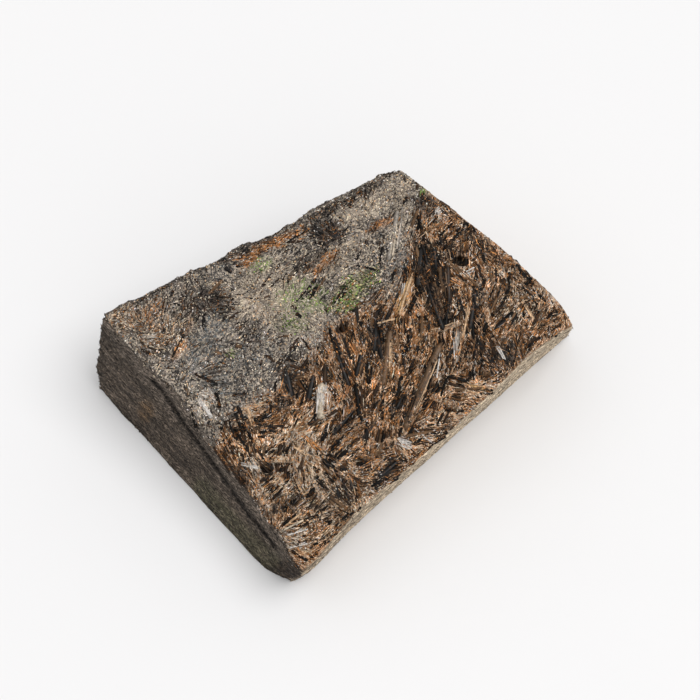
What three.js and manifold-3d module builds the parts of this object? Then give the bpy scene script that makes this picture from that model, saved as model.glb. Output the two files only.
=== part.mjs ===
// A sawn slab of nuummite: one piece of dark rock made of interlocked amphibole blades.
// It is a wedge with a coarse, bladed top, three sawn sides, a broken back and a flat sawn base.
// Millimetres, +Z up. The base lies on z = 0, and the origin is the middle of the slab's box there.
// Left and right are -X and +X, and the front is -Y.

import * as THREE from "three";
import { mergeVertices } from "three/addons/utils/BufferGeometryUtils.js";
import Module from "manifold-3d";

// Cells of the top face, left to right and front to back, and rows of points down each side.
const COLUMNS = 45;
const ROWS = 36;
const WALL_ROWS = 8;
// How far the cells crowd towards the rim, where the form changes most: 0 is not at all.
const CROWDING = 0.35;

// The rim of the top face. Each edge runs between two corners, and the front left corner is lowest.
const FRONT_LEFT = [-47.4, -38.6, 16.8];
const FRONT_RIGHT = [40.4, -38.8, 29];
const BACK_RIGHT = [35.5, 17.8, 38];
const BACK_LEFT = [-43, 39.2, 31];
const RIM = {
  front: [
    FRONT_LEFT, [-43.2, -38.6, 17.6], [-35.3, -37.5, 18.8], [-26, -37, 20], [-10.8, -37.4, 22.1],
    [11, -37.5, 25.1], [31.6, -37.1, 27.8], FRONT_RIGHT,
  ],
  right: [
    FRONT_RIGHT, [41.8, -33.5, 29.9], [41.6, -23.7, 31.4], [40.3, -10.5, 33.5], [37.7, 3.5, 35.8],
    BACK_RIGHT,
  ],
  back: [
    BACK_LEFT, [-29.5, 36.3, 32.2], [-17.2, 33, 33.3], [-5.9, 29.7, 34.3], [2.9, 26.7, 35.1],
    [7.5, 26.3, 35.5], [20, 23.7, 36.6], [30.1, 20.9, 37.4], BACK_RIGHT,
  ],
  left: [
    FRONT_LEFT, [-47.4, -34.8, 17.6], [-44.9, -27.8, 19.1], [-42.9, -18, 20.9], [-42.4, -8.7, 22.6],
    [-42, 6.6, 25.3], [-43.3, 22.6, 28.2], [-43.6, 34.6, 30.3], BACK_LEFT,
  ],
};

// The outline of the base. The front is undercut, and the left and right sides lean out.
const BASE_FRONT_LEFT = [-47.6, -34.2, 0];
const BASE_FRONT_RIGHT = [50.1, -31.8, 0];
const BASE_BACK_RIGHT = [44.3, 17.4, 0];
const BASE_BACK_LEFT = [-50.2, 38.3, 0];
const BASE = {
  front: [BASE_FRONT_LEFT, [-42.4, -35.2, 0], [-28.4, -33.9, 0], [7.3, -32.8, 0], BASE_FRONT_RIGHT],
  right: [BASE_FRONT_RIGHT, BASE_BACK_RIGHT],
  back: [BASE_BACK_LEFT, BASE_BACK_RIGHT],
  left: [BASE_FRONT_LEFT, [-50, -28, 0], [-50.4, -15.8, 0], [-50.3, 19.4, 0], BASE_BACK_LEFT],
};

// How each side is finished: the chamfer under its rim, how far its middle height stands out, its
// half roughness and the distance that changes over, and how far its rim is nibbled in and out.
const SIDE = {
  front: { chamferOut: 0.25, chamferDrop: 0.7, bulge: 0, rough: 0.12, grain: 9, rimRough: 0.05 },
  right: { chamferOut: 0.2, chamferDrop: 0.5, bulge: 0, rough: 0.12, grain: 9, rimRough: 0.05 },
  back: { chamferOut: 0.7, chamferDrop: 2.2, bulge: 2, rough: 1.5, grain: 6, rimRough: 0.6 },
  left: { chamferOut: 0.5, chamferDrop: 1.4, bulge: 0.5, rough: 0.3, grain: 7, rimRough: 0.15 },
};
// Each side's finish eases into its neighbours' over this share of its length.
const CORNER_BLEND = 0.07;
// The distance that the nibbled rim changes over.
const NIBBLE = 3.2;
// Along the middle of the left side the chamfer widens into a ledge with an open crack below it.
const LEDGE = { from: -31, to: 13, fade: 8, out: 2.3, drop: 2.8, groove: 1, grooveDrop: 0.8 };
// The last part of the back rim rolls over to the break, but less so towards its two corners.
const BACK_ROLL = { width: 4.5, drop: 1.1, corner: 0.1 };
// Broad swells of the top face: half height and the distance they change over.
const TOP_SWELL = { height: 0.5, grain: 17 };
// The share of the top's relief that is left at the rim, and the share of the face that it grows over.
const RIM_RELIEF = { left: 0.25, over: 0.04 };
// The second octave of every roughness: its share of the height, and how much finer it is.
const FINER = { share: 0.32, times: 2.3 };
// The face is a patchwork of sprays of blades, each running its own way. A point belongs to the
// nearest spray: middle x and y, turn from +X in degrees, half height of its ridges, blades laid out.
const SPRAYS = [
  [2, -17, 40, 0.65, 4],
  [-8, -9, 58, 0.59, 3],
  [-17, -14, 50, 0.59, 2],
  [14, -26, 30, 0.65, 3],
  [24, -31, 40, 0.65, 3],
  [34, -24, 52, 0.59, 2],
  [23, -10, 62, 0.72, 3],
  [31, 2, 70, 0.65, 2],
  [12, -5, 32, 0.59, 2],
  [24, 12, 84, 0.45, 1],
  [4, 12, 4, 0.45, 2],
  [-14, 6, -48, 0.33, 0],
  [-12, 24, 12, 0.33, 1],
  [-32, 24, 20, 0.39, 1],
  [-34, 4, -78, 0.45, 1],
  [-28, -12, -44, 0.52, 2],
  [-36, -22, 84, 0.52, 2],
  [-41, -33, -22, 0.59, 2],
  [-25, -30, 14, 0.59, 2],
  [-10, -32, -30, 0.59, 2],
  [8, -35, -58, 0.52, 1],
];
// A spray's ridges: how far one runs and how far the next lies beside it.
const RIDGE = { along: 16, across: 4.2 };
// The border between two sprays wanders this far, over this distance.
const BORDER = { wander: 2.2, grain: 4 };
// A crystal: its sides, its tip's share of its width, and how near its ends it bears on the face.
const CRYSTAL = { sides: 6, tip: 0.45, bearing: 0.8 };
// Blades laid out over a spray: how far from its middle, and their sizes from least to most.
const LAID = { reach: 6.5, fan: 9, margin: 1.5, length: [7, 13], width: [1.4, 2.8], height: [0.35, 0.65] };

// Blades that stand proudest: middle x and y, turn from +X in degrees, length, width, height.
const BLADES = [
  [3.4, -25.6, 25, 24, 2.6, 1.25],
  [9.6, -24.4, 36, 11, 2.2, 0.8],
  [-17.6, -12.4, 50, 10.5, 3.8, 0.8],
  [14.6, -6.9, 30, 11, 2.2, 0.9],
  [19.4, -12.6, 62, 10, 2.6, 0.8],
  [17.4, -18.7, -24, 7.5, 1.4, 0.7],
  [7.4, -8, -31, 6, 1.3, 0.6],
  [-1.2, 17.2, 2, 9, 1.8, 0.7],
];
// Pits where blades have dropped out: middle x and y, turn from +X, length, width, depth.
const PITS = [
  [31.4, -9.1, -51, 3.2, 1.9, 1.3],
  [-16.2, -19.6, 4, 8.5, 1.5, 1],
  [24.8, -1.6, 56, 7.5, 4.2, 0.8],
  [-37.4, -15.2, -70, 2.8, 2, 1],
  [0.6, -22.4, 26, 14, 2, 0.8],
  [9.4, -31.4, 35, 8, 2.2, 0.7],
  [4.6, 14.6, 4, 8, 1.6, 0.7],
  [-12.4, -27.6, 20, 5, 2.6, 0.7],
];

// A repeatable number from 0 to 1 for each point of a whole-number lattice.
function lattice(ix, iy, iz) {
  let h = Math.imul(ix, 374761393) ^ Math.imul(iy, 668265263) ^ Math.imul(iz, 2147483647);
  h = Math.imul(h ^ (h >>> 13), 1274126177);
  return ((h ^ (h >>> 16)) >>> 0) / 4294967295;
}

const ease = (t) => t * t * (3 - 2 * t);
const clamp01 = (t) => Math.min(1, Math.max(0, t));
const mix = (a, b, t) => a + (b - a) * t;

// Smooth noise from -1 to 1 that changes over one unit.
function noise(x, y, z) {
  const [ix, iy, iz] = [Math.floor(x), Math.floor(y), Math.floor(z)];
  const [fx, fy, fz] = [ease(x - ix), ease(y - iy), ease(z - iz)];
  const alongX = (j, k) => mix(lattice(ix, iy + j, iz + k), lattice(ix + 1, iy + j, iz + k), fx);
  const low = mix(alongX(0, 0), alongX(1, 0), fy);
  const high = mix(alongX(0, 1), alongX(1, 1), fy);
  return 2 * mix(low, high, fz) - 1;
}

// The spray that a place on the top belongs to.
function sprayAt(x, y) {
  const wander = (cx) => BORDER.wander * noise(x / BORDER.grain, y / BORDER.grain, cx);
  const away = ([cx, cy]) => Math.hypot(x - cx, y - cy) + wander(cx);
  return SPRAYS.reduce((best, spray) => (away(spray) < away(best) ? spray : best));
}

// The height of the ridges that a spray's blades make at a place. Their crests are sharp.
function ridges(x, y) {
  const [cx, cy, turn, height] = sprayAt(x, y);
  const angle = THREE.MathUtils.degToRad(turn);
  const along = (x * Math.cos(angle) + y * Math.sin(angle)) / RIDGE.along;
  const across = (y * Math.cos(angle) - x * Math.sin(angle)) / RIDGE.across;
  return height * (1 - 2 * Math.abs(noise(along, across, cx + cy)));
}

// Two octaves of noise at a point, changing over grain millimetres.
function roughness(p, grain) {
  const octave = (step) => noise(p.x / step, p.y / step, p.z / step);
  return mix(octave(grain), octave(grain / FINER.times), FINER.share);
}

// The smooth curve through the points of each named edge.
const curveOf = (points) =>
  new THREE.CatmullRomCurve3(points.map((p) => new THREE.Vector3(...p)), false, "centripetal");
const curvesOf = (edges) =>
  Object.fromEntries(Object.entries(edges).map(([name, points]) => [name, curveOf(points)]));
const rim = curvesOf(RIM);
const base = curvesOf(BASE);

// The four edge curves filled in as one smooth patch: u runs left to right and v front to back.
function patch(u, v) {
  const [front, back] = [rim.front.getPointAt(u), rim.back.getPointAt(u)];
  const [left, right] = [rim.left.getPointAt(v), rim.right.getPointAt(v)];
  const corners = [FRONT_LEFT, FRONT_RIGHT, BACK_LEFT, BACK_RIGHT];
  const weights = [(1 - u) * (1 - v), u * (1 - v), (1 - u) * v, u * v];
  const p = new THREE.Vector3();
  p.addScaledVector(front, 1 - v).addScaledVector(back, v);
  p.addScaledVector(left, 1 - u).addScaledVector(right, u);
  corners.forEach((corner, k) => p.addScaledVector(new THREE.Vector3(...corner), -weights[k]));
  return p;
}

// A point of the top face: the patch with its swells, its ridges and the roll at the back.
function topPoint(u, v) {
  const p = patch(u, v);
  const fromRim = Math.min(u, v, 1 - u, 1 - v);
  const relief = mix(RIM_RELIEF.left, 1, ease(clamp01(fromRim / RIM_RELIEF.over)));
  const fromBack = (1 - v) * rim.left.getLength();
  const fromCorner = ease(clamp01(Math.min(u, 1 - u) / BACK_ROLL.corner));
  const roll = fromCorner * BACK_ROLL.drop * (1 - clamp01(fromBack / BACK_ROLL.width)) ** 2;
  const swell = TOP_SWELL.height * roughness(p, TOP_SWELL.grain);
  p.z += relief * (swell + ridges(p.x, p.y)) - roll;
  return p;
}

// The share of the way across the face at a grid column or row.
const spread = (k, count) => mix(k / count, ease(k / count), CROWDING);

// The places round the rim, counterclockwise from the front left corner, as grid column and row.
const perimeter = [];
for (let i = 0; i < COLUMNS; i++) perimeter.push({ side: "front", i, j: 0 });
for (let j = 0; j < ROWS; j++) perimeter.push({ side: "right", i: COLUMNS, j });
for (let i = COLUMNS; i > 0; i--) perimeter.push({ side: "back", i, j: ROWS });
for (let j = ROWS; j > 0; j--) perimeter.push({ side: "left", i: 0, j });

const crossesColumns = ({ side }) => side === "front" || side === "back";
const alongSide = (place) => (crossesColumns(place) ? spread(place.i, COLUMNS) : spread(place.j, ROWS));

// Eases a side's finish into its neighbours' over the last part of its length.
function finishAt(place) {
  const order = ["front", "right", "back", "left"];
  const t = alongSide(place);
  const forward = place.side === "front" || place.side === "right" ? t : 1 - t;
  const at = order.indexOf(place.side);
  const next = SIDE[order[(at + 1) % order.length]];
  const last = SIDE[order.at(at - 1)];
  const own = SIDE[place.side];
  const toNext = 0.5 * ease(clamp01((forward - 1 + CORNER_BLEND) / CORNER_BLEND));
  const toLast = 0.5 * ease(clamp01((CORNER_BLEND - forward) / CORNER_BLEND));
  const blend = (key) => own[key] * (1 - toNext - toLast) + next[key] * toNext + last[key] * toLast;
  return Object.fromEntries(Object.keys(own).map((key) => [key, blend(key)]));
}

// How much of the left side's ledge there is at a place, from 0 to 1.
function ledgeAt(place, y) {
  if (place.side !== "left") return 0;
  return ease(clamp01((y - LEDGE.from) / LEDGE.fade)) * ease(clamp01((LEDGE.to - y) / LEDGE.fade));
}

// The column of points down one side, from under the rim to the base.
function wallColumn(place, rimPoint, outward) {
  const t = alongSide(place);
  const foot = base[place.side].getPointAt(t);
  const finish = finishAt(place);
  const ledge = ledgeAt(place, rimPoint.y);
  const points = [];
  const shoulder = rimPoint.clone().addScaledVector(outward, mix(finish.chamferOut, LEDGE.out, ledge));
  shoulder.z -= mix(finish.chamferDrop, LEDGE.drop, ledge);
  points.push(shoulder);
  const under = shoulder.clone().addScaledVector(outward, -LEDGE.groove * ledge);
  under.z -= mix(finish.chamferDrop * 0.8, LEDGE.grooveDrop, ledge);
  points.push(under);
  const below = WALL_ROWS - points.length;
  for (let k = 1; k <= below; k++) points.push(under.clone().lerp(foot, k / below));
  points.forEach((p, k) => {
    const stand = finish.bulge * Math.sin((Math.PI * k) / (WALL_ROWS - 1));
    p.addScaledVector(outward, stand + finish.rough * roughness(p, finish.grain));
  });
  return points;
}

// The level direction that faces out of the rim at each place.
function outwardAt(index, rimPoints) {
  const count = rimPoints.length;
  const before = rimPoints[(index + count - 1) % count];
  const after = rimPoints[(index + 1) % count];
  return new THREE.Vector3(after.y - before.y, before.x - after.x, 0).normalize();
}

function slabGeometry() {
  const vertices = [];
  const faces = [];
  const topIndex = (i, j) => j * (COLUMNS + 1) + i;
  const quad = (a, b, c, d) => faces.push(a, b, c, a, c, d);

  for (let j = 0; j <= ROWS; j++)
    for (let i = 0; i <= COLUMNS; i++) vertices.push(topPoint(spread(i, COLUMNS), spread(j, ROWS)));
  for (let j = 0; j < ROWS; j++)
    for (let i = 0; i < COLUMNS; i++)
      quad(topIndex(i, j), topIndex(i + 1, j), topIndex(i + 1, j + 1), topIndex(i, j + 1));

  // The rim itself is nibbled before the sides hang from it.
  const rimIndex = perimeter.map(({ i, j }) => topIndex(i, j));
  const straight = rimIndex.map((k) => vertices[k].clone());
  const outward = straight.map((_, k) => outwardAt(k, straight));
  perimeter.forEach((place, k) => {
    const finish = finishAt(place);
    vertices[rimIndex[k]].addScaledVector(outward[k], finish.rimRough * roughness(straight[k], NIBBLE));
  });

  let upper = rimIndex;
  const columns = perimeter.map((place, k) => wallColumn(place, vertices[rimIndex[k]], outward[k]));
  for (let row = 0; row < WALL_ROWS; row++) {
    const lower = columns.map((column) => vertices.push(column[row]) - 1);
    lower.forEach((_, k) => {
      const next = (k + 1) % lower.length;
      quad(upper[k], lower[k], lower[next], upper[next]);
    });
    upper = lower;
  }

  const outline = upper.map((k) => new THREE.Vector2(vertices[k].x, vertices[k].y));
  const floor = THREE.ShapeUtils.triangulateShape(outline, []);
  for (const [a, b, c] of floor) faces.push(upper[a], upper[c], upper[b]);

  const geometry = new THREE.BufferGeometry().setFromPoints(vertices);
  geometry.setIndex(faces);
  return geometry;
}

const wasm = await Module();
wasm.setup();

function solidOf(geometry) {
  const bare = geometry.clone();
  bare.deleteAttribute("normal");
  bare.deleteAttribute("uv");
  const merged = mergeVertices(bare, 1e-4);
  const mesh = new wasm.Mesh({
    numProp: 3,
    vertProperties: merged.attributes.position.array,
    triVerts: new Uint32Array(merged.index.array),
  });
  return new wasm.Manifold(mesh);
}

function geometryOf(solid) {
  const { vertProperties, triVerts } = solid.getMesh();
  const geometry = new THREE.BufferGeometry();
  geometry.setAttribute("position", new THREE.BufferAttribute(vertProperties, 3));
  geometry.setIndex(new THREE.BufferAttribute(triVerts, 1));
  return geometry;
}

// One amphibole crystal: a flattened six-sided prism with blunt ends, lying half sunk in the face.
function crystal([x, y, turn, length, width, height], surface) {
  const half = length / 2;
  const tip = CRYSTAL.tip * width;
  const profile = [[0, -half], [1, -half + tip], [1, half - tip], [0, half]];
  const outline = profile.map(([r, at]) => new THREE.Vector2(r, at));
  const geometry = new THREE.LatheGeometry(outline, CRYSTAL.sides);
  geometry.rotateY(Math.PI / CRYSTAL.sides);
  geometry.rotateZ(-Math.PI / 2);
  geometry.scale(1, height, width / 2);
  geometry.rotateX(Math.PI / 2);
  // The crystal follows the fall of the face from one end to the other.
  const angle = THREE.MathUtils.degToRad(turn);
  const reach = CRYSTAL.bearing * half;
  const [dx, dy] = [Math.cos(angle) * reach, Math.sin(angle) * reach];
  const [high, low] = [surface(x + dx, y + dy), surface(x - dx, y - dy)];
  geometry.rotateY(-Math.atan2(high - low, 2 * reach));
  geometry.rotateZ(angle);
  geometry.translate(x, y, (high + low) / 2);
  return solidOf(geometry);
}

const raw = slabGeometry();

// The height of the top face over a place of the plan, or nothing beside the face.
const topFace = new THREE.Mesh(raw.clone());
topFace.geometry.setDrawRange(0, 6 * COLUMNS * ROWS);
const probe = new THREE.Raycaster();
function surface(x, y) {
  probe.set(new THREE.Vector3(x, y, 2 * BACK_RIGHT[2]), new THREE.Vector3(0, 0, -1));
  return probe.intersectObject(topFace)[0]?.point.z;
}

// The blades of one spray, laid over it with a slight fan.
function laidBlades([cx, cy, turn, , count]) {
  return Array.from({ length: count }, (_, k) => {
    const draw = (salt) => lattice(k + 1, Math.round(cx * 3 + salt * 17), Math.round(cy * 5));
    const size = ([least, most], salt) => mix(least, most, draw(salt));
    const [dx, dy] = [LAID.reach * (2 * draw(1) - 1), LAID.reach * (2 * draw(2) - 1)];
    const fanned = turn + LAID.fan * (2 * draw(3) - 1);
    return [cx + dx, cy + dy, fanned, size(LAID.length, 4), size(LAID.width, 5), size(LAID.height, 6)];
  });
}

// Whether both ends of a blade lie on the face.
function rests([x, y, turn, length]) {
  const angle = THREE.MathUtils.degToRad(turn);
  const [dx, dy] = [Math.cos(angle), Math.sin(angle)].map((part) => part * (length / 2 + LAID.margin));
  return surface(x + dx, y + dy) !== undefined && surface(x - dx, y - dy) !== undefined;
}

let slab = solidOf(raw);
const blades = [...BLADES, ...SPRAYS.flatMap(laidBlades).filter(rests)];
for (const blade of blades) slab = slab.add(crystal(blade, surface));
for (const pit of PITS) slab = slab.subtract(crystal(pit, surface));
// A chip that a pit cuts loose falls away.
const [whole] = slab.decompose().sort((a, b) => b.volume() - a.volume());

// The origin goes to the middle of the box.
const geometry = geometryOf(whole);
geometry.computeBoundingBox();
const middle = geometry.boundingBox.getCenter(new THREE.Vector3());
geometry.translate(-middle.x, -middle.y, -geometry.boundingBox.min.z);
geometry.computeVertexNormals();

const stone = new THREE.Mesh(
  geometry,
  new THREE.MeshStandardMaterial({ color: 0x4a4038, roughness: 0.7, metalness: 0.05 }),
);
stone.name = "nuummite_slab";

const part = new THREE.Group();
part.add(stone);
export default part;
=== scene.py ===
"""A sawn slab of nuummite, a dark rock of interlocked amphibole blades, dressed over its frame.

The skin stands for the slab's solid. It is the same form with a finer surface. The crystals that make
up the rock lie in its top and its sides as joined meshes of small closed grains and bars. Lengths are in
millimetres until a mesh is made, and places on the photograph are in its 700 x 700 pixels.
"""

import math

import bpy
import numpy as np
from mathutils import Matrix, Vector
from mathutils.bvhtree import BVHTree


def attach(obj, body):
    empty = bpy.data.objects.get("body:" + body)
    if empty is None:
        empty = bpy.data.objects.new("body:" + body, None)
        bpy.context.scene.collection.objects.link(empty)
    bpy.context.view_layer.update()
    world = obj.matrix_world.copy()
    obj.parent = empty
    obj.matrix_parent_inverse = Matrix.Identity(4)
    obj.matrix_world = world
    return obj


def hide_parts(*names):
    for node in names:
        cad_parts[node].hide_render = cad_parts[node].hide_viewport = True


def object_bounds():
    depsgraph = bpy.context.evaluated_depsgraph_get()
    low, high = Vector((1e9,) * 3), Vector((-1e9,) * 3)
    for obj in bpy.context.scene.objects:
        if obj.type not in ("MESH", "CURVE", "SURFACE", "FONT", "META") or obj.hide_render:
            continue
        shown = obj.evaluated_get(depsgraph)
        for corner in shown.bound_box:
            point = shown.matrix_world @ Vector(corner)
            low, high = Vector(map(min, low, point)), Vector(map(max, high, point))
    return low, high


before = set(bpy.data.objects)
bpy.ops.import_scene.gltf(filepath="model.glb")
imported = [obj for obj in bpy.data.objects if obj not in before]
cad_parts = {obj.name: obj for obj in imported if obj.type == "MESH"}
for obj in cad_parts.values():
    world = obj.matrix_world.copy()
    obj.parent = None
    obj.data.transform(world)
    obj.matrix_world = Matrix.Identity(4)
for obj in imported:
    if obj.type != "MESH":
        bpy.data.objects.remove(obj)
cad_box = [list(corner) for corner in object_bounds()]

MM = 0.001
SLAB = "nuummite_slab"
LOW, HIGH = (np.array(corner) / MM for corner in cad_box)
random = np.random.default_rng(641)

# The camera of the photograph: its direction, distance, lens and the point that it looks at.
AZIMUTH = math.radians(-42)
ELEVATION = math.radians(64)
DISTANCE = 468
SENSOR = 36
LENS = 92.57
TARGET = np.array([5.3, 2.3, 0])
PHOTO = 700
FOCAL = LENS / SENSOR * PHOTO
BACK = np.array([
    math.sin(AZIMUTH) * math.cos(ELEVATION), -math.cos(AZIMUTH) * math.cos(ELEVATION), math.sin(ELEVATION)
])
RIGHT = np.array([math.cos(AZIMUTH), math.sin(AZIMUTH), 0])
UP = np.cross(BACK, RIGHT)
EYE = TARGET + DISTANCE * BACK

# How far apart in the lattice two patterns of noise are.
SALT_STEP = 19.7

# The plane that the top follows: z = slope_x * x + slope_y * y + middle height.
TOP_SLOPE = np.array([0.1375, 0.1787])
TOP_MIDDLE = 30.05

# The longest edges that the skin keeps on the top and on the sides, and how often they are halved for it.
TOP_EDGE = 0.76
SIDE_EDGE = 1.1
MOST_HALVINGS = 6

# What is lower than this lies on the base, and the skin's relief fades in over this height above it.
ON_BASE = 0.01
FOOT = 1.5

# How far below its plane the top may reach, with its chamfers and pits, and how deep a hollow is where the
# painted shade in it is full.
TOP_DEPTH = 3.2
HOLLOW_SHADE_DEPTH = 0.45

# How far the skin and the crystals keep inside the solid's box.
SKIN_INSET = 0.002
CRYSTAL_INSET = 0.001

# How many crystals are drawn before those off the top or on other ground are left out.
DARK_BLADES = 3000
FIBRES = 50000
FLECKS = 42000
FELT_GRAINS = 46000
SIDE_GRAINS = 24500

# The least and greatest length, and the least and greatest width, of each sort of crystal.
BLADE_SIZES = ((1.5, 8), (0.3, 1.2))
FLECK_SIZES = ((0.3, 1.2), (0.1, 0.22))
FELT_SIZES = ((0.25, 0.95), (0.18, 0.42))
SIDE_SIZES = ((0.5, 2.2), (0.2, 0.6))

# The fibres: the mean and spread of their lengths' logarithm, the bounds of their lengths, how much shorter
# the light ones are, and the widths of light and dark ones.
FIBRE_LENGTH = (0.65, 0.6)
FIBRE_BOUNDS = (0.5, 7)
LIGHT_SHORTER = 0.75
LIGHT_WIDTH = (0.09, 0.2)
DARK_WIDTH = (0.2, 0.55)

# A fibre is light when the three channels of its colour add up to more than this.
LIGHT = 0.3

# Bundles of parallel blades: how far apart they are, how many times longer than wide they are, how far
# behind them their blades meet, the length and width of a blade, and the width of the net between blades.
BUNDLE_GAP = 4.4
BUNDLE_STRETCH = 2.4
FAN_REACH = 26
BLADE_CELL = (3.4, 1.15)
NET_WIDTH = 0.42

# How far past its half length a patch fades out, how much of it shows in the skin, and how many pixels
# its edge is shaken by.
PATCH_FADE = 1.45
PATCH_HOLD = 0.7
EDGE_SHAKE = 5

# How much the crystals' heights vary, how far out on its half length each one asks for the ground's height,
# and the steepest rise that one lies on.
LIFT_GIVE = 0.03
PROBE = 0.9
STEEPEST = 1.1

# The way that each side faces in plan, how nearly a place has to face it, and how softly sides meet.
SIDE_FACING = {
    "left": ((-1, 0), 0.55), "front": ((0, -1), 0.55), "right": ((1, 0), 0.55), "back": ((0, 1), 0.45),
}
SIDE_BLEND = 0.3

# How densely the grains lie on each side, and the slant of the saw's marks in radians.
SIDE_DENSITY = {"left": 2.2, "front": 0.45, "right": 0.4, "back": 0.9}
SAW_TURN = 0.05

# The kinds of ground that are fine and even, not bladed.
FINE_KINDS = ("felt", "pale", "blue", "green", "moss")

# Lines on the photograph: the left face's crack, its upper rim and its green foot, and how wide they are.
CRACK = [(152, 380), (163, 392), (185, 425), (200, 445), (225, 480), (245, 510), (260, 527), (275, 547)]
CRACK_WIDTH = 2.2
LEFT_RIM = [(104, 314), (140, 362), (184, 414), (226, 470), (262, 520), (298, 570)]
LEDGE_WIDTH = 9
GREEN_FOOT = [(202, 488), (236, 528), (272, 562)]
FOOT_WIDTH = 10

# Spots on the left face: middle x and y on the photograph, and half width and half height there.
OCHRE_SPOT = (146, 411, 9, 12)
TIP_SPOT = (292, 570, 20, 12)

# The front darkens towards the near corner, from this pixel on and over this many pixels. The right side
# takes the front's colours from far along it, where they aren't darkened.
FRONT_DARK_END = 420
FRONT_DARK_REACH = 120
RIGHT_SHIFT = 400


def photo_of(places):
    """Where places in the frame show on the photograph."""
    away = places - EYE
    depth = -(away @ BACK)
    across = FOCAL * (away @ RIGHT) / depth
    up = FOCAL * (away @ UP) / depth
    return np.stack([PHOTO / 2 + across, PHOTO / 2 - up], 1)


def top_of(spots):
    """The places on the top's plane that show at these pixels of the photograph."""
    spots = np.atleast_2d(np.array(spots, float))
    rays = (
        np.outer(spots[:, 0] - PHOTO / 2, RIGHT) + np.outer(PHOTO / 2 - spots[:, 1], UP) - FOCAL * BACK
    )
    normal = np.array([-TOP_SLOPE[0], -TOP_SLOPE[1], 1])
    reach = (TOP_MIDDLE - EYE @ normal) / (rays @ normal)
    return EYE + rays * reach[:, None]


def ease(t):
    """A smooth step from 0 to 1."""
    t = np.clip(t, 0, 1)
    return t * t * (3 - 2 * t)


def lattice(ix, iy, iz):
    """A repeatable number from 0 to 1 for each point of a whole-number lattice."""
    # Large odd numbers and shifts that mix the bits well.
    h = (ix * 374761393 + iy * 668265263 + iz * 2147483647) & 0xFFFFFFFF
    h = ((h ^ (h >> 13)) * 1274126177) & 0xFFFFFFFF
    return ((h ^ (h >> 16)) & 0xFFFF) / 0xFFFF


def noise(places, grain, salt=0):
    """Smooth noise from -1 to 1 that changes over grain millimetres, one number or one for each axis.

    The salt is any whole number, and another one for each use gives another pattern.
    """
    at = places / np.array(grain) + SALT_STEP * salt
    whole = np.floor(at).astype(np.int64)
    t = ease(at - whole)
    total = 0
    for corner in np.ndindex(2, 2, 2):
        weight = np.prod(np.where(corner, t, 1 - t), axis=1)
        total = total + weight * lattice(*(whole + corner).T)
    return 2 * total - 1


def fractal(places, grain, salt=0, octaves=3):
    """Octaves of noise, each twice as fine and half as high."""
    total = 0
    for k in range(octaves):
        total = total + noise(places, np.array(grain) / 2**k, salt + k) / 2**k
    return total / (2 - 2 ** (1 - octaves))


def shaken(places, grain, salt):
    """Two numbers from -1 to 1 for each place, to shake it by."""
    return np.stack([noise(places, grain, salt), noise(places, grain, salt + 1)], 1)


def linear(colour):
    """An sRGB colour of 0 to 255 as linear light."""
    c = np.array(colour, float) / 255
    return np.where(c <= 0.04045, c / 12.92, ((c + 0.055) / 1.055) ** 2.4)


# The minerals' colours, in sRGB.
COLOURS = {
    "black": (13, 11, 9),
    "ink": (27, 25, 24),
    "dark brown": (45, 33, 24),
    "brown": (98, 76, 56),
    "rust": (158, 106, 62),
    "orange": (196, 132, 72),
    "tan": (192, 160, 126),
    "gold": (196, 156, 106),
    "beige": (186, 172, 152),
    # Silver is partly the pale grey of some blades and partly a painted highlight standing in for glints off
    # their cleavage faces.
    "silver and glint": (208, 202, 196),
    "grey": (138, 130, 121),
    "dark grey": (76, 71, 67),
    "blue grey": (92, 98, 100),
    "green": (120, 142, 72),
    "dark green": (66, 80, 40),
}

# What each kind of ground is made of: colours and their shares.
KINDS = {
    "rust": {
        "black": 34, "dark brown": 15, "brown": 6, "rust": 19,
        "tan": 12, "orange": 12, "beige": 7, "silver and glint": 6,
    },
    "felt": {"dark grey": 30, "grey": 19, "beige": 17, "ink": 27, "tan": 5, "brown": 3, "silver and glint": 6},
    "pale": {"beige": 40, "grey": 32, "dark grey": 12, "tan": 12, "ink": 4},
    "blue": {"blue grey": 38, "dark grey": 30, "grey": 20, "beige": 8, "ink": 4},
    "green": {"green": 26, "grey": 22, "beige": 26, "dark green": 14, "dark grey": 12},
    "moss": {"green": 22, "dark green": 30, "ink": 22, "rust": 12, "beige": 14},
    "orange": {"orange": 34, "rust": 32, "dark brown": 20, "black": 14},
    "tan": {"tan": 32, "beige": 32, "rust": 10, "silver and glint": 13, "brown": 6, "dark brown": 10},
    "mixed": {
        "tan": 20, "beige": 22, "silver and glint": 6, "brown": 12,
        "dark brown": 14, "dark grey": 10, "black": 20,
    },
    "dark": {"black": 44, "ink": 22, "dark brown": 18, "dark grey": 16},
    "black": {"black": 82, "dark brown": 18},
    "silver and glint": {"silver and glint": 52, "beige": 30, "grey": 18},
    "bundle": {"silver and glint": 14, "beige": 30, "tan": 14, "brown": 18, "dark brown": 24},
    "brown": {"brown": 44, "dark brown": 28, "rust": 16, "black": 12},
    "gold": {"gold": 44, "orange": 20, "tan": 22, "dark brown": 14},
}

# The colours of the sides, in sRGB.
SIDES = {
    "left dark": (52, 45, 38),
    "left light": (98, 87, 77),
    "left cloud": (78, 70, 63),
    "ledge": (106, 96, 87),
    "ochre": (128, 96, 58),
    "foot": (82, 82, 60),
    "tip": (40, 31, 24),
    # The crack is a real carved groove, painted near black as the shadow under the ledge over it.
    "crack": (24, 20, 17),
    "front light": (224, 206, 180),
    "front dark": (142, 125, 104),
    "front cloud": (178, 160, 138),
    "front shade": (92, 78, 66),
    "back dark": (40, 36, 33),
    "back light": (98, 90, 82),
    "back brown": (84, 62, 44),
    "base": (88, 80, 72),
}

# The grey felt covers the back left of the top, as far as this line on the photograph.
FELT_LINE = [(440, 160), (426, 205), (404, 262), (392, 296), (345, 316), (318, 352), (292, 385), (262, 402),
             (226, 436)]
FELT_BLUR = 14

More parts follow.
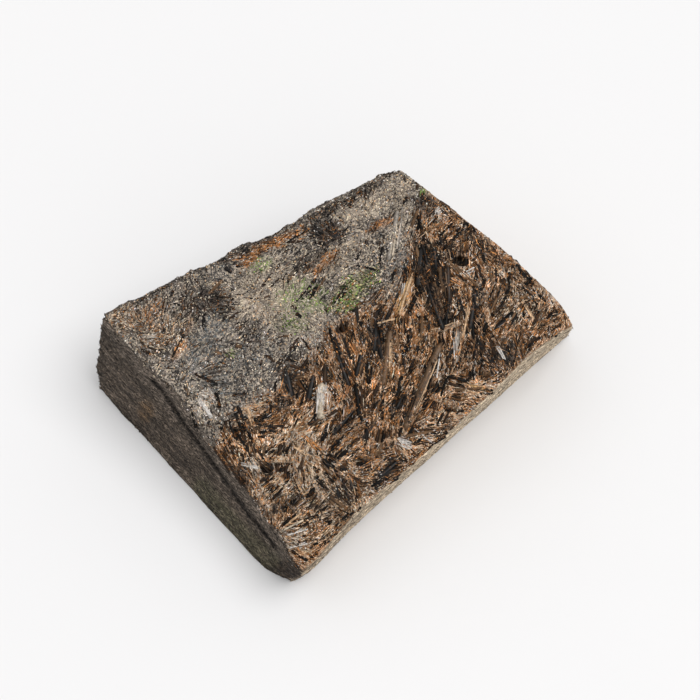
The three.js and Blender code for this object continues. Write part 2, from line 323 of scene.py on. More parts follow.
# Patches of other ground, each over those before it: their kind, and for each one the middle x and y on the
# photograph, half length, half width, turn in degrees and share.
PATCH_RUNS = [
    ("pale", [(268, 292, 40, 30, 20, 0.75), (300, 318, 30, 20, 0, 0.6), (372, 204, 40, 13, 25, 0.7),
        (350, 256, 30, 20, 30, 0.45), (402, 205, 10, 34, 0, 0.55), (228, 302, 20, 16, 20, 0.45)]),
    ("dark", [(150, 291, 55, 5, 28, 0.6), (250, 243, 50, 5, 30, 0.6), (345, 201, 60, 5, 30, 0.5),
        (200, 300, 26, 12, 30, 0.4), (215, 380, 10, 16, 0, 0.45), (250, 330, 12, 10, 0, 0.35)]),
    ("blue", [(207, 340, 13, 40, -28, 0.75), (228, 378, 24, 26, 0, 0.5), (256, 350, 20, 16, 0, 0.35),
        (218, 274, 16, 9, 25, 0.5)]),
    ("dark", [(327, 232, 15, 11, 0, 0.85), (222, 306, 12, 12, 0, 0.75), (290, 372, 15, 15, 0, 0.55),
        (286, 403, 16, 7, 0, 0.7), (308, 262, 24, 6, 40, 0.6), (252, 425, 14, 9, 0, 0.45)]),
    ("green", [(302, 298, 24, 17, 0, 0.8), (260, 265, 12, 8, 15, 0.85), (292, 324, 16, 9, 0, 0.6)]),
    ("moss", [(357, 284, 24, 11, 30, 0.9), (345, 302, 17, 10, 15, 0.9)]),
    ("green", [(231, 352, 6, 4, 0, 0.8)]),
    ("moss", [(424, 190, 6, 4, 0, 0.6)]),
    ("orange", [(270, 244, 36, 5, 22, 0.8), (150, 314, 24, 10, 30, 0.25), (186, 330, 6, 16, -25, 0.3),
        (178, 352, 12, 4, 50, 0.5), (248, 262, 10, 5, 30, 0.7), (382, 224, 16, 4, 20, 0.5),
        (326, 262, 18, 6, 40, 0.5)]),
    ("mixed", [(122, 322, 22, 14, 30, 0.6), (160, 335, 24, 14, 30, 0.4)]),
    ("tan", [(298, 440, 30, 18, 38, 0.95), (252, 412, 14, 9, 30, 0.6), (252, 452, 16, 10, 0, 0.5),
        (302, 478, 34, 24, 20, 0.9), (270, 498, 12, 14, 0, 0.5), (345, 458, 14, 9, 0, 0.3),
        (470, 388, 22, 9, -10, 0.5), (452, 330, 16, 10, 20, 0.3), (385, 355, 8, 16, 0, 0.35),
        (322, 450, 40, 24, 0, 0.25)]),
    ("mixed", [(520, 300, 34, 26, 0, 0.6), (330, 500, 48, 36, 0, 0.7), (284, 478, 46, 44, 0, 0.45)]),
    ("tan", [(290, 460, 34, 24, 20, 0.45)]),
    ("mixed", [(440, 428, 40, 18, 40, 0.5)]),
    ("brown", [(428, 345, 16, 12, 0, 0.6), (348, 345, 22, 18, 0, 0.45), (412, 385, 26, 18, 0, 0.3)]),
    ("black", [(421, 262, 11, 24, 0, 0.95), (434, 256, 6, 12, 0, 0.9), (432, 300, 8, 26, 10, 0.8),
        (446, 318, 12, 9, 0, 0.7), (437, 290, 14, 34, 0, 0.8), (452, 250, 14, 12, 0, 0.7),
        (468, 232, 20, 7, -38, 0.45), (376, 345, 9, 18, 0, 0.75), (346, 380, 8, 14, 0, 0.35),
        (366, 404, 13, 13, 0, 0.65), (330, 372, 8, 14, 0, 0.35), (522, 352, 12, 8, 35, 0.5),
        (306, 392, 7, 14, 0, 0.4), (480, 340, 8, 14, 0, 0.6)]),
    ("dark", [(503, 356, 26, 14, 35, 0.7), (482, 246, 30, 7, -38, 0.5), (428, 206, 16, 9, -30, 0.65),
        (400, 402, 12, 14, 0, 0.4), (378, 324, 14, 10, 0, 0.5), (384, 476, 20, 9, 38, 0.7),
        (345, 425, 15, 5, 42, 0.6), (340, 490, 12, 16, 0, 0.4), (268, 470, 6, 6, 0, 0.9),
        (294, 500, 7, 5, 0, 0.9), (362, 462, 6, 5, 0, 0.9), (238, 478, 10, 13, -35, 0.6),
        (285, 508, 16, 6, 10, 0.6), (348, 528, 26, 6, 38, 0.4), (478, 300, 8, 22, 0, 0.4)]),
    ("blue", [(400, 268, 9, 24, -10, 0.7), (480, 292, 9, 24, -15, 0.45)]),
    ("bundle", [(290, 541, 24, 15, -8, 0.9), (438, 362, 6, 26, 12, 0.6), (458, 320, 7, 26, 10, 0.5)]),
    # These patches are pale blades with painted highlights, laid where cleavage faces glint.
    ("silver and glint", [(321, 397, 7, 15, -12, 0.95), (334, 410, 8, 6, 0, 0.5), (203, 404, 8, 12, -30, 0.75),
        (252, 466, 9, 4, -35, 0.6), (404, 447, 7, 5, 0, 0.8), (426, 434, 9, 4, 10, 0.7),
        (462, 270, 6, 3, 0, 0.7), (438, 214, 8, 7, 0, 0.5), (507, 272, 8, 6, -30, 0.5),
        (513, 320, 8, 6, -40, 0.4), (552, 300, 5, 9, 25, 0.5), (148, 338, 8, 6, 0, 0.5),
        (313, 338, 9, 6, 0, 0.5)]),
    ("gold", [(404, 298, 6, 20, -18, 0.8)]),
]
PATCHES = [(kind, *row) for kind, rows in PATCH_RUNS for row in rows]

# Sprays of blades: middle x and y on the photograph, turn there in degrees, and how far their turns spread.
SPRAYS = [
    (425, 262, 98, 8), (442, 300, 100, 10), (404, 298, 72, 8), (398, 262, 80, 20), (470, 262, 125, 25),
    (484, 300, 80, 16), (460, 320, 88, 12), (438, 366, 80, 8), (424, 390, 68, 8), (505, 330, 66, 18),
    (530, 300, 55, 40), (548, 318, 60, 30), (505, 356, 125, 20), (472, 388, -6, 12), (480, 350, 95, 18),
    (345, 345, 118, 16), (368, 350, 95, 10), (390, 350, 84, 12), (330, 380, 100, 14), (356, 392, 80, 20),
    (384, 410, 74, 12), (408, 420, 68, 14), (350, 425, 42, 14), (320, 398, 105, 14), (300, 432, 45, 22),
    (262, 412, 30, 40), (285, 380, 20, 40), (278, 450, 60, 30), (300, 480, 100, 35), (330, 480, 125, 18),
    (350, 505, 122, 16), (318, 495, 42, 16), (372, 470, 20, 50), (420, 440, 25, 25), (292, 535, 8, 8),
    (290, 548, -16, 8), (268, 498, 70, 25), (330, 530, 40, 25), (205, 350, 60, 14), (185, 330, 75, 30),
    (300, 268, 42, 12), (330, 250, 60, 50), (402, 205, 76, 12), (372, 215, 30, 30), (270, 244, 28, 14),
    (240, 300, 30, 90), (290, 310, 120, 90), (240, 370, 60, 60), (150, 320, 50, 50), (210, 408, 120, 25),
    (250, 455, 130, 25), (450, 220, 60, 50), (500, 270, 130, 40), (352, 286, 35, 30),
]

# Sheaves of narrow blades: their two ends on the photograph, their width there and their mineral.
# The silver sheaves are pale blades with painted highlights on their cleavage faces.
SHEAVES = [
    (441, 343, 405, 432, 8, "brown"), (436, 352, 402, 430, 3, "black"), (446, 340, 414, 420, 2, "tan"),
    (410, 278, 398, 318, 4, "gold"), (404, 282, 400, 304, 3, "silver and glint"), (421, 246, 418, 270, 11, "black"),
    (434, 249, 434, 264, 6, "black"), (429, 288, 443, 330, 4, "black"), (452, 286, 444, 330, 3, "black"),
    (446, 262, 448, 300, 3, "brown"), (376, 324, 396, 320, 3, "tan"), (431, 331, 459, 322, 3, "tan"),
    (377, 328, 374, 352, 5, "black"), (325, 383, 321, 425, 11, "silver and glint"), (317, 388, 322, 410, 4, "beige"),
    (358, 409, 332, 434, 3, "black"), (455, 328, 455, 362, 4, "silver and glint"), (439, 348, 436, 386, 3, "silver and glint"),
    (463, 384, 488, 391, 2, "gold"), (463, 389, 486, 396, 2, "tan"), (470, 300, 462, 340, 3, "tan"),
    (384, 340, 380, 392, 5, "brown"), (392, 338, 391, 372, 3, "tan"), (350, 338, 366, 372, 3, "rust"),
    (268, 542, 318, 526, 3, "silver and glint"), (270, 548, 320, 534, 3, "beige"), (276, 534, 312, 518, 3, "beige"),
    (274, 552, 312, 544, 3, "silver and glint"), (282, 528, 300, 514, 2, "tan"), (436, 214, 441, 209, 5, "silver and glint"),
    (466, 273, 475, 268, 4, "silver and glint"), (198, 398, 212, 420, 4, "silver and glint"), (240, 464, 262, 469, 4, "silver and glint"),
    (396, 442, 412, 448, 6, "silver and glint"), (412, 430, 434, 444, 3, "silver and glint"), (502, 350, 514, 372, 5, "black"),
    (497, 345, 506, 362, 3, "silver and glint"), (378, 478, 396, 464, 5, "black"), (336, 484, 342, 502, 4, "black"),
    (284, 372, 292, 396, 6, "black"), (312, 382, 308, 402, 4, "black"), (276, 420, 262, 436, 3, "black"),
    (300, 434, 322, 452, 4, "orange"), (292, 446, 312, 458, 3, "tan"), (246, 408, 254, 424, 4, "tan"),
    (330, 232, 342, 240, 6, "ink"), (398, 208, 390, 262, 3, "beige"), (404, 206, 398, 250, 3, "grey"),
    (490, 252, 497, 256, 3, "orange"), (484, 262, 500, 296, 3, "brown"), (520, 300, 536, 322, 3, "tan"),
    (425, 400, 440, 372, 4, "brown"), (360, 440, 378, 420, 4, "dark brown"), (344, 400, 352, 372, 4, "rust"),
]

# Broad plates, each one crystal, given in the same way.
PLATES = [
    (442, 342, 404, 434, 7, "brown"), (391, 330, 383, 388, 6, "brown"), (421, 246, 418, 288, 9, "black"),
    (434, 248, 437, 270, 5, "black"), (322, 384, 321, 422, 8, "beige"), (448, 264, 450, 304, 5, "dark brown"),
    (366, 336, 356, 378, 5, "black"), (376, 326, 374, 352, 6, "black"), (428, 290, 444, 332, 5, "black"),
    (412, 276, 399, 318, 3, "tan"), (398, 208, 388, 262, 5, "grey"), (458, 326, 456, 364, 5, "grey"),
    (502, 348, 516, 372, 6, "black"), (336, 352, 350, 388, 5, "black"), (314, 376, 308, 404, 5, "ink"),
    (286, 370, 292, 398, 6, "ink"), (404, 392, 392, 420, 5, "black"), (476, 290, 470, 330, 5, "ink"),
    (352, 412, 332, 436, 5, "black"), (378, 480, 398, 462, 5, "black"), (344, 350, 334, 372, 4, "brown"),
]

# A pixel of the photograph on the top in millimetres, and the pixels that a sheaf's blade is wide.
PIXEL = 0.26
SHEAF_GAP = 1.8
HALF_EACH_WAY = (-0.5, 0.5)

# Open pits on the photograph: middle x and y, half length, half width and turn.
HOLES = [
    (461, 261, 6, 4, -15), (266, 469, 5, 4, 0), (341, 329, 5, 3, 20), (294, 502, 5, 3, 0),
    (360, 462, 4, 3, 30),
]
HOLE_DEPTH = 1.5

# How deep the broken rim of the top and the rear left corner are nibbled.
RIM_NIBBLE = 1.6
CORNER_NIBBLE = 2.2

# How high the fine relief of each side stands.
TOP_FIBRES = 0.16
BACK_CRUMBS, BACK_CHIPS, BACK_SUNK = 0.6, 0.9, 0.2
LEFT_SAW, LEFT_CRUMBS, LEFT_CHIPS, LEFT_CRACK = 0.14, 0.16, 0.2, 0.5
FRONT_SAW, FRONT_CRUMBS = 0.05, 0.05
RIGHT_CRUMBS = 0.07


# The lamps: place, spread in degrees and power. They shine at a point inside the slab.
LAMPS = {
    "key": (210 * RIGHT + np.array([0, 0, 420]), 40, 1.65),
    "fill": (-300 * RIGHT + 200 * BACK + np.array([0, 0, 400]), 60, 0.3),
}
LIT_POINT = np.array([0, 0, 10])
AIR_POWER = 0.7

# The floor's colour in linear light, its size and its gap under the slab, and the camera's near limit, in
# metres.
PAPER = (0.757, 0.752, 0.754, 1)
FLOOR_SIZE = 4
FLOOR_GAP = 0.0002
CLIP_START = 0.01


def hole_share(spots):
    """How far into a pit each pixel lies, from 0 to 1."""
    deepest = np.zeros(len(spots))
    for hole in HOLES:
        deepest = np.maximum(deepest, patch_share(("hole", *hole, 1), spots))
    return deepest


def line_distance(spots, line):
    """How far each pixel is from a line through points on the photograph: below 0 on its other side."""
    line = np.array(line, float)
    nearest = np.full(len(spots), np.inf)
    signed = np.zeros(len(spots))
    for a, b in zip(line[:-1], line[1:]):
        along = b - a
        t = np.clip((spots - a) @ along / (along @ along), 0, 1)
        off = spots - a - t[:, None] * along
        far = np.hypot(*off.T)
        side = np.sign(along[0] * off[:, 1] - along[1] * off[:, 0])
        closer = far < nearest
        nearest[closer], signed[closer] = far[closer], (side * far)[closer]
    return signed


def felt_share(spots):
    """How far into the grey felt each pixel lies, from 0 to 1."""
    return ease(0.5 + line_distance(spots, FELT_LINE) / (2 * FELT_BLUR))


def patch_share(patch, spots):
    """How much of a patch there is at each pixel, from 0 to its share."""
    _, x, y, long, wide, turn, share = patch
    c, s = math.cos(math.radians(turn)), -math.sin(math.radians(turn))
    dx, dy = spots[:, 0] - x, spots[:, 1] - y
    away = np.hypot((dx * c + dy * s) / long, (dy * c - dx * s) / wide)
    return share * ease(PATCH_FADE - away)


def spot_share(spots, spot, fade):
    """How far into an upright round spot each pixel lies, from 0 to 1."""
    x, y, wide, high = spot
    return ease(fade - np.hypot((spots[:, 0] - x) / wide, (spots[:, 1] - y) / high))


def kinds_at(places):
    """The kind of ground drawn for each place of the top, as its number in KINDS."""
    names = list(KINDS)
    spots = photo_of(places) + EDGE_SHAKE * shaken(places, 2.2, 3)
    felt = random.random(len(spots)) < felt_share(spots)
    kinds = np.where(felt, names.index("felt"), names.index("rust"))
    for patch in PATCHES:
        taken = random.random(len(spots)) < patch_share(patch, spots)
        kinds[taken] = names.index(patch[0])
    return kinds


def tints_of(kinds):
    """A colour drawn for each of these kinds, in linear light, with some give."""
    tints = np.zeros((len(kinds), 3))
    for number, shares in enumerate(KINDS.values()):
        mine = np.flatnonzero(kinds == number)
        weights = np.array(list(shares.values()), float)
        palette = np.array([linear(COLOURS[name]) for name in shares])
        drawn = random.choice(len(shares), len(mine), p=weights / weights.sum())
        tints[mine] = palette[drawn]
    value = varied(0.3, len(kinds), 0.1)
    hue = np.exp(random.normal(0, 0.02, (len(kinds), 3)))
    return held(tints * value * hue)


def varied(spread, count, mean=0):
    """A factor about 1 for each of count colours: the spread and the mean are those of its logarithm."""
    return np.exp(random.normal(mean, spread, (count, 1)))


def held(tints, highest=0.8):
    """Colours brought down as a whole where one of their channels is too high."""
    return np.maximum(tints * np.minimum(1, highest / tints.max(1))[:, None], 0.002)


def mean_colour(names_and_weights):
    """The mean of some of the minerals' colours, weighted, in linear light."""
    colours = np.array([linear(COLOURS[name]) for name, _ in names_and_weights])
    return np.average(colours, axis=0, weights=[weight for _, weight in names_and_weights])


def body_and_vein(kind):
    """The mean colour of a kind's dark minerals and that of its light ones."""
    shares = sorted(KINDS[kind].items(), key=lambda item: sum(COLOURS[item[0]]))
    half = sum(KINDS[kind].values()) / 2
    taken = 0
    dark = []
    for name, weight in shares:
        if taken < half:
            dark.append((name, weight))
            taken += weight
    light = [item for item in shares if item not in dark] or dark
    return mean_colour(dark), mean_colour(light)


def ground_tones(spots):
    """The dark and light colours of the ground at each pixel, and how fine and even its grain is."""
    felt = felt_share(spots)[:, None]
    tones = {kind: body_and_vein(kind) for kind in KINDS}
    body = felt * tones["felt"][0] + (1 - felt) * tones["rust"][0]
    vein = felt * tones["felt"][1] + (1 - felt) * tones["rust"][1]
    fine = felt
    for patch in PATCHES:
        share = PATCH_HOLD * patch_share(patch, spots)[:, None]
        body = body * (1 - share) + share * tones[patch[0]][0]
        vein = vein * (1 - share) + share * tones[patch[0]][1]
        fine = fine * (1 - share) + share * (patch[0] in FINE_KINDS)
    return body, vein, fine[:, 0]


def blotches(places):
    """How much darker or lighter the ground is in clouds of a few millimetres, about 1."""
    return np.exp(0.65 * fractal(places, 3.2, 41, 3) + 0.25 * noise(places, 1.1, 45))


class Bundles:
    """The bundles of parallel blades that the top is made of, each fanning from a point behind it."""

    def __init__(self):
        """Bundles on a shaken grid, each turned as the nearest spray is."""
        x, y = (np.arange(low, high, BUNDLE_GAP) for low, high in zip(LOW[:2], HIGH[:2]))
        plan = np.stack(np.meshgrid(x, y), -1).reshape(-1, 2)
        self.middle = plan + random.uniform(-0.5, 0.5, plan.shape) * BUNDLE_GAP
        spots = photo_of(on_top(self.middle))
        sprays = np.array(SPRAYS, float)
        away = np.hypot(*(spots[:, None] - sprays[None, :, :2]).transpose(2, 0, 1))
        turn, fan = sprays[away.argmin(1), 2:].T
        turn = np.radians(turn + fan * random.normal(0, 0.9, len(plan)))
        self.along = heading_of(turn)
        self.across = np.stack([-self.along[:, 1], self.along[:, 0]], 1)
        self.shade = np.exp(random.normal(0, 0.3, len(plan)))
        self.salt = random.random(len(plan)) * 50

    def at(self, plan):
        """The number of the bundle that holds each place."""
        moved = plan + 0.8 * shaken(on_top(plan), 1.8, 31)
        found = []
        # A few thousand places at a time, to save memory.
        for part in np.array_split(moved, max(1, len(moved) // 8000)):
            away = part[:, None] - self.middle[None]
            along = (away * self.along).sum(2) / BUNDLE_STRETCH
            across = (away * self.across).sum(2)
            found.append((along**2 + across**2).argmin(1))
        return np.concatenate(found)

    def grain(self, plan, bundle):
        """Each place's own coordinates in its bundle: along it, across it, and one for each bundle."""
        away = plan - self.middle[bundle] + FAN_REACH * self.along[bundle]
        reach = np.hypot(*away.T)
        along, across = (away * self.along[bundle]).sum(1), (away * self.across[bundle]).sum(1)
        return np.column_stack([reach, FAN_REACH * np.arctan2(across, along), self.salt[bundle]])

    def cells(self, plan, bundle):
        """How near each place is to the edge of a blade in its bundle, and that blade's own number."""
        at = self.grain(plan, bundle)[:, :2] / BLADE_CELL + self.salt[bundle][:, None]
        whole = np.floor(at).astype(np.int64)
        nearest, second = np.full(len(at), 9.0), np.full(len(at), 9.0)
        number = np.zeros(len(at))
        for dx, dy in np.ndindex(3, 3):
            cell = whole + (dx - 1, dy - 1)
            own = lattice(cell[:, 0], cell[:, 1], 0)
            centre = cell + np.stack([own, lattice(cell[:, 0], cell[:, 1], 1)], 1)
            away = np.hypot(*(at - centre).T)
            closer = away < nearest
            second = np.where(closer, nearest, np.minimum(second, away))
            nearest, number = np.where(closer, away, nearest), np.where(closer, own, number)
        return second - nearest, number

    def heading(self, plan):
        """The direction in plan of the blades at each place."""
        bundle = self.at(plan)
        return unit(plan - self.middle[bundle] + FAN_REACH * self.along[bundle])


def heading_of(turn):
    """The direction in plan that shows at this angle on the photograph."""
    middle = np.array([PHOTO / 2, PHOTO / 2])
    step = 10 * np.stack([np.cos(turn), -np.sin(turn)], 1)
    return unit((top_of(middle + step) - top_of(middle - step))[:, :2])


def smoothed(values, ends, times, weight=0.5):
    """Values at the vertices, eased towards their neighbours' mean."""
    a, b = ends
    count = np.bincount(np.concatenate([a, b]), minlength=len(values))[:, None]
    for _ in range(times):
        total = np.stack([
            np.bincount(a, column[b], len(values)) + np.bincount(b, column[a], len(values))
            for column in values.T
        ], 1)
        values = (1 - weight) * values + weight * total / count
    return values


def unit(vectors):
    """Vectors brought to a length of 1."""
    return vectors / np.maximum(np.linalg.norm(vectors, axis=-1, keepdims=True), 1e-9)


def normals_of(places, triangles):
    """The vertex normals of a closed mesh, weighted by area."""
    a, b, c = (places[triangles[:, k]] for k in range(3))
    flat = np.cross(b - a, c - a)
    total = np.zeros_like(places)
    for k in range(3):
        for axis in range(3):
            total[:, axis] += np.bincount(triangles[:, k], flat[:, axis], len(places))
    return unit(total)


def over_top(places):
    """The height of each place over the top's plane."""
    return places[:, 2] - places[:, :2] @ TOP_SLOPE - TOP_MIDDLE


def edges_of(triangles, count):
    """Every edge once as its two ends, and the number of each triangle's three edges."""
    pairs = np.sort(triangles[:, [0, 1, 1, 2, 2, 0]].reshape(-1, 2), axis=1)
    keys, which = np.unique(pairs[:, 0] * count + pairs[:, 1], return_inverse=True)
    return np.stack([keys // count, keys % count], 1), which.reshape(-1, 3)


def too_long(a, b):
    """Whether the edges from a to b are longer than their part of the slab allows."""
    near_top = np.minimum(over_top(a), over_top(b)) > -TOP_DEPTH
    on_base = np.maximum(a[:, 2], b[:, 2]) < ON_BASE
    limit = np.where(near_top, TOP_EDGE, SIDE_EDGE)
    return (np.linalg.norm(a - b, axis=1) > limit) & ~on_base


def halved(places, triangles):
    """The mesh with every edge that is too long cut at its middle."""
    edges, which = edges_of(triangles, len(places))
    a, b = places[edges[:, 0]], places[edges[:, 1]]
    long = too_long(a, b)
    number = np.full(len(edges), -1)
    number[long] = len(places) + np.arange(long.sum())
    middle = number[which]
    cuts = (middle >= 0).sum(1)
    # Each triangle is turned so that its cut edges come first and its whole ones last.
    only_cut, only_whole = (middle >= 0).argmax(1), (middle < 0).argmax(1)
    first = np.where(cuts == 1, only_cut, np.where(cuts == 2, (only_whole + 1) % 3, 0))
    turn = (first[:, None] + np.arange(3)) % 3
    corner = np.take_along_axis(triangles, turn, 1)
    middle = np.take_along_axis(middle, turn, 1)
    parts = [triangles[cuts == 0]]
    for count, forms in (
        (1, ("A3C", "3BC")), (2, ("3B4", "A34", "A4C")), (3, ("A35", "3B4", "54C", "345")),
    ):
        mine = cuts == count
        at = dict(zip("ABC345", [*corner[mine].T, *middle[mine].T]))
        parts += [np.stack([at[letter] for letter in form], 1) for form in forms]
    return np.concatenate([places, (a[long] + b[long]) / 2]), np.concatenate(parts)


def refined_slab():
    """The slab's own mesh with its long edges halved until they are fine enough, and its edges."""
    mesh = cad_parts[SLAB].data
    mesh.calc_loop_triangles()
    places = np.empty(len(mesh.vertices) * 3)
    mesh.vertices.foreach_get("co", places)
    triangles = np.empty(len(mesh.loop_triangles) * 3, np.int32)
    mesh.loop_triangles.foreach_get("vertices", triangles)
    places, same = np.unique(np.round(places.reshape(-1, 3) / MM, 3), axis=0, return_inverse=True)
    triangles = same.ravel()[triangles.reshape(-1, 3)].astype(np.int64)
    triangles = triangles[(triangles != np.roll(triangles, 1, 1)).all(1)]
    for _ in range(MOST_HALVINGS):
        places, triangles = halved(places, triangles)
    return places, triangles, edges_of(triangles, len(places))[0].T


def side_shares(places, triangles, ends):
    """How much each vertex belongs to the top, left, front, right, back and base."""
    facing = unit(smoothed(normals_of(places, triangles), ends, 14))
    up = facing[:, 2]
    flat = unit(facing[:, :2])
    top = ease((up - 0.45) / SIDE_BLEND)
    base = ease((-up - 0.5) / SIDE_BLEND)
    level = 1 - np.maximum(top, base)
    faces = {side: ease((flat @ way - least) / SIDE_BLEND) for side, (way, least) in SIDE_FACING.items()}
    total = np.maximum(sum(faces.values()), 1e-6)
    shares = {side: level * share / total for side, share in faces.items()}
    return {"top": top, "base": base, **shares, "facing": facing}


def carved(places, shares):
    """The skin's places with the fine relief of each side."""
    spots = photo_of(places)
    fibres = fractal(places, (0.9, 0.9, 1.2), 11)
    crumbs = fractal(places, 1.6, 12)
    chips = fractal(places, 4.5, 13)
    saw_left = noise(places, (5, 9, 0.7), 14)
    saw_front = noise(places, (9, 5, 0.6), 15)
    crack = ease(1 - abs(line_distance(spots, CRACK)) / CRACK_WIDTH)
    nibbles = fractal(places, 1.9, 16, 2)
    edge = 4 * shares["top"] * (1 - shares["top"])
    faces = unit(shares["facing"][:, :2])
    broken = np.maximum(faces[:, 1] + 0.2, 0.8 * (-faces[:, 0] - 0.3))
    rim = edge * (0.08 + 0.92 * ease(broken / 0.5))
    left = LEFT_SAW * saw_left + LEFT_CRUMBS * crumbs + LEFT_CHIPS * chips - LEFT_CRACK * crack
    lift = (
        shares["top"] * (TOP_FIBRES * fibres - HOLE_DEPTH * hole_share(spots))
        + shares["back"] * (BACK_CRUMBS * crumbs + BACK_CHIPS * chips - BACK_SUNK)
        + shares["left"] * left
        - RIM_NIBBLE * rim * np.maximum(0, nibbles)
        + shares["front"] * (FRONT_SAW * saw_front + FRONT_CRUMBS * crumbs)
        + shares["right"] * RIGHT_CRUMBS * crumbs
    )
    teeth = fractal(places, (2.6, 2.6, 1.7), 17, 2) + 0.15
    lift = lift - CORNER_NIBBLE * 4 * shares["left"] * shares["back"] * np.maximum(0, teeth)
    standing = ease(places[:, 2] / FOOT)
    moved = places + (lift * standing)[:, None] * shares["facing"]
    return np.clip(moved, LOW + SKIN_INSET, HIGH - SKIN_INSET)


def mixed_colour(shares_of_colours):
    """The sides' colours mixed in linear light by shares, each an array over the vertices."""
    total = sum(share for _, share in shares_of_colours)
    blend = sum(share[:, None] * linear(SIDES[name]) for name, share in shares_of_colours)
    return blend / np.maximum(total, 1e-6)[:, None]


def left_colour(places, spots):
    """The sawn left face: grey brown, with a smooth ledge over the crack, ochre streaks, a green foot and
    painted shadow in the crack.
    """
    streaks = noise(places, (3, 16, 0.8), 21) * 0.5 + 0.5
    cloud = fractal(places, (9, 14, 5), 22) * 0.5 + 0.5
    crack, rim, foot = (abs(line_distance(spots, line)) for line in (CRACK, LEFT_RIM, GREEN_FOOT))
    colour = mixed_colour([
        ("left dark", 1 - streaks), ("left light", streaks), ("left cloud", 0.5 * cloud),
    ])
    colour = colour * np.exp(0.5 * fractal(places, (3, 5, 2), 28, 2))[:, None]
    for name, share in (
        ("ledge", 0.6 * ease(1.6 - rim / LEDGE_WIDTH)),
        ("ochre", 0.55 * spot_share(spots, OCHRE_SPOT, 1.3) * streaks),
        ("foot", 0.4 * ease(1.4 - foot / FOOT_WIDTH)),
        ("tip", 0.75 * spot_share(spots, TIP_SPOT, 1.5)),
        # Painted shadow: the crack is painted near black, as the ledge over it shades it.
        ("crack", ease(1.2 - crack / (1.3 * CRACK_WIDTH))),
    ):
        colour = colour * (1 - share[:, None]) + linear(SIDES[name]) * share[:, None]
    return colour


def front_colour(places, spots):
    """The sawn front strip: pale beige grey with streaks along it, darker towards the near corner."""
    streaks = noise(places, (11, 4, 0.5), 23) * 0.5 + 0.5
    cloud = fractal(places, (6, 5, 2), 24) * 0.5 + 0.5
    near = ease((FRONT_DARK_END - spots[:, 0]) / FRONT_DARK_REACH)
    colour = mixed_colour([
        ("front light", streaks), ("front dark", 1 - streaks), ("front cloud", 0.6 * cloud),
    ])
    shade = (0.1 + 0.45 * (1 - streaks) + 0.15 * cloud) * near
    return colour * (1 - shade[:, None]) + linear(SIDES["front shade"]) * shade[:, None]


def broken_colour(places):
    """The rough broken back: dark grey and brown blades end on."""
    speck = noise(places, 0.9, 26) * 0.5 + 0.5
    cloud = fractal(places, 7, 27) * 0.5 + 0.5
    return mixed_colour([
        ("back dark", 1 - speck), ("back light", 0.6 * speck), ("back brown", 0.5 * cloud),
    ])


def mesh_object(name, places, faces, tint, layout):
    """A mesh from places in millimetres, with a colour at each vertex and a flat layout of its faces."""
    mesh = bpy.data.meshes.new(name)
    size = faces.shape[1]
    mesh.vertices.add(len(places))
    mesh.vertices.foreach_set("co", (places * MM).astype(np.float32).ravel())
    mesh.loops.add(faces.size)
    mesh.loops.foreach_set("vertex_index", faces.astype(np.int32).ravel())
    mesh.polygons.add(len(faces))
    mesh.polygons.foreach_set("loop_start", np.arange(0, faces.size, size, dtype=np.int32))
    mesh.update(calc_edges=True)
    flat = mesh.uv_layers.new(name="OFBake")
    flat.uv.foreach_set("vector", layout.astype(np.float32).ravel())
    put_colour(mesh, "tint", tint)
    body = bpy.data.objects.new(name, mesh)
    bpy.context.collection.objects.link(body)
    return body


def colour_cells(count, faces):
    """A flat layout with a small cell for each crystal, for crystals that come in order of their colours."""
    across = math.ceil(math.sqrt(count))
    row, column = np.divmod(np.arange(count), across)
    column = np.where(row % 2, across - 1 - column, column)
    squares = 2 if faces == 8 else 3
    square, half = np.divmod(np.arange(faces), 2)
    low = np.array([(0.04, 0.04), (0.9, 0.04), (0.04, 0.9)])
    corner = np.where(half[:, None, None], 1 - low, low)
    inside = (np.stack([square % squares, square // squares], 1)[:, None] + corner) / squares
    return (np.stack([column, row], 1)[:, None, None] + inside[None]) / across


def side_layout(places, triangles, shares):
    """A flat layout of the skin, each side seen square on in a frame of its own."""
    x, y, z = (places - LOW).T
    long, deep = (HIGH - LOW)[:2]
    high = HIGH[2]
    # Each side's two axes and its corner in the layout, in millimetres.
    frames = {
        "top": (x, y, 0, 0), "front": (x, z, 0, deep + 2), "back": (long - x, z, 0, deep + high + 4),
        "base": (y, x, long + 2, 0), "left": (deep - y, z, long + 2, long + 2),
        "right": (y, z, long + 2, long + high + 4),
    }
    side = np.stack([shares[name][triangles].mean(1) for name in frames]).argmax(0)
    flat = np.stack([np.stack([across + left, up + low], 1) for across, up, left, low in frames.values()])
    spread = max(long + deep, long + 2 * high, deep + 2 * high) + 6
    return flat[side[:, None], triangles] / spread


def put_colour(mesh, name, colour):
    """Three numbers for each vertex, kept as a colour that the material can read."""
    layer = mesh.attributes.new(name, "FLOAT_COLOR", "POINT")
    full = np.concatenate([colour, np.ones((len(colour), 1))], 1)
    layer.data.foreach_set("color", full.astype(np.float32).ravel())


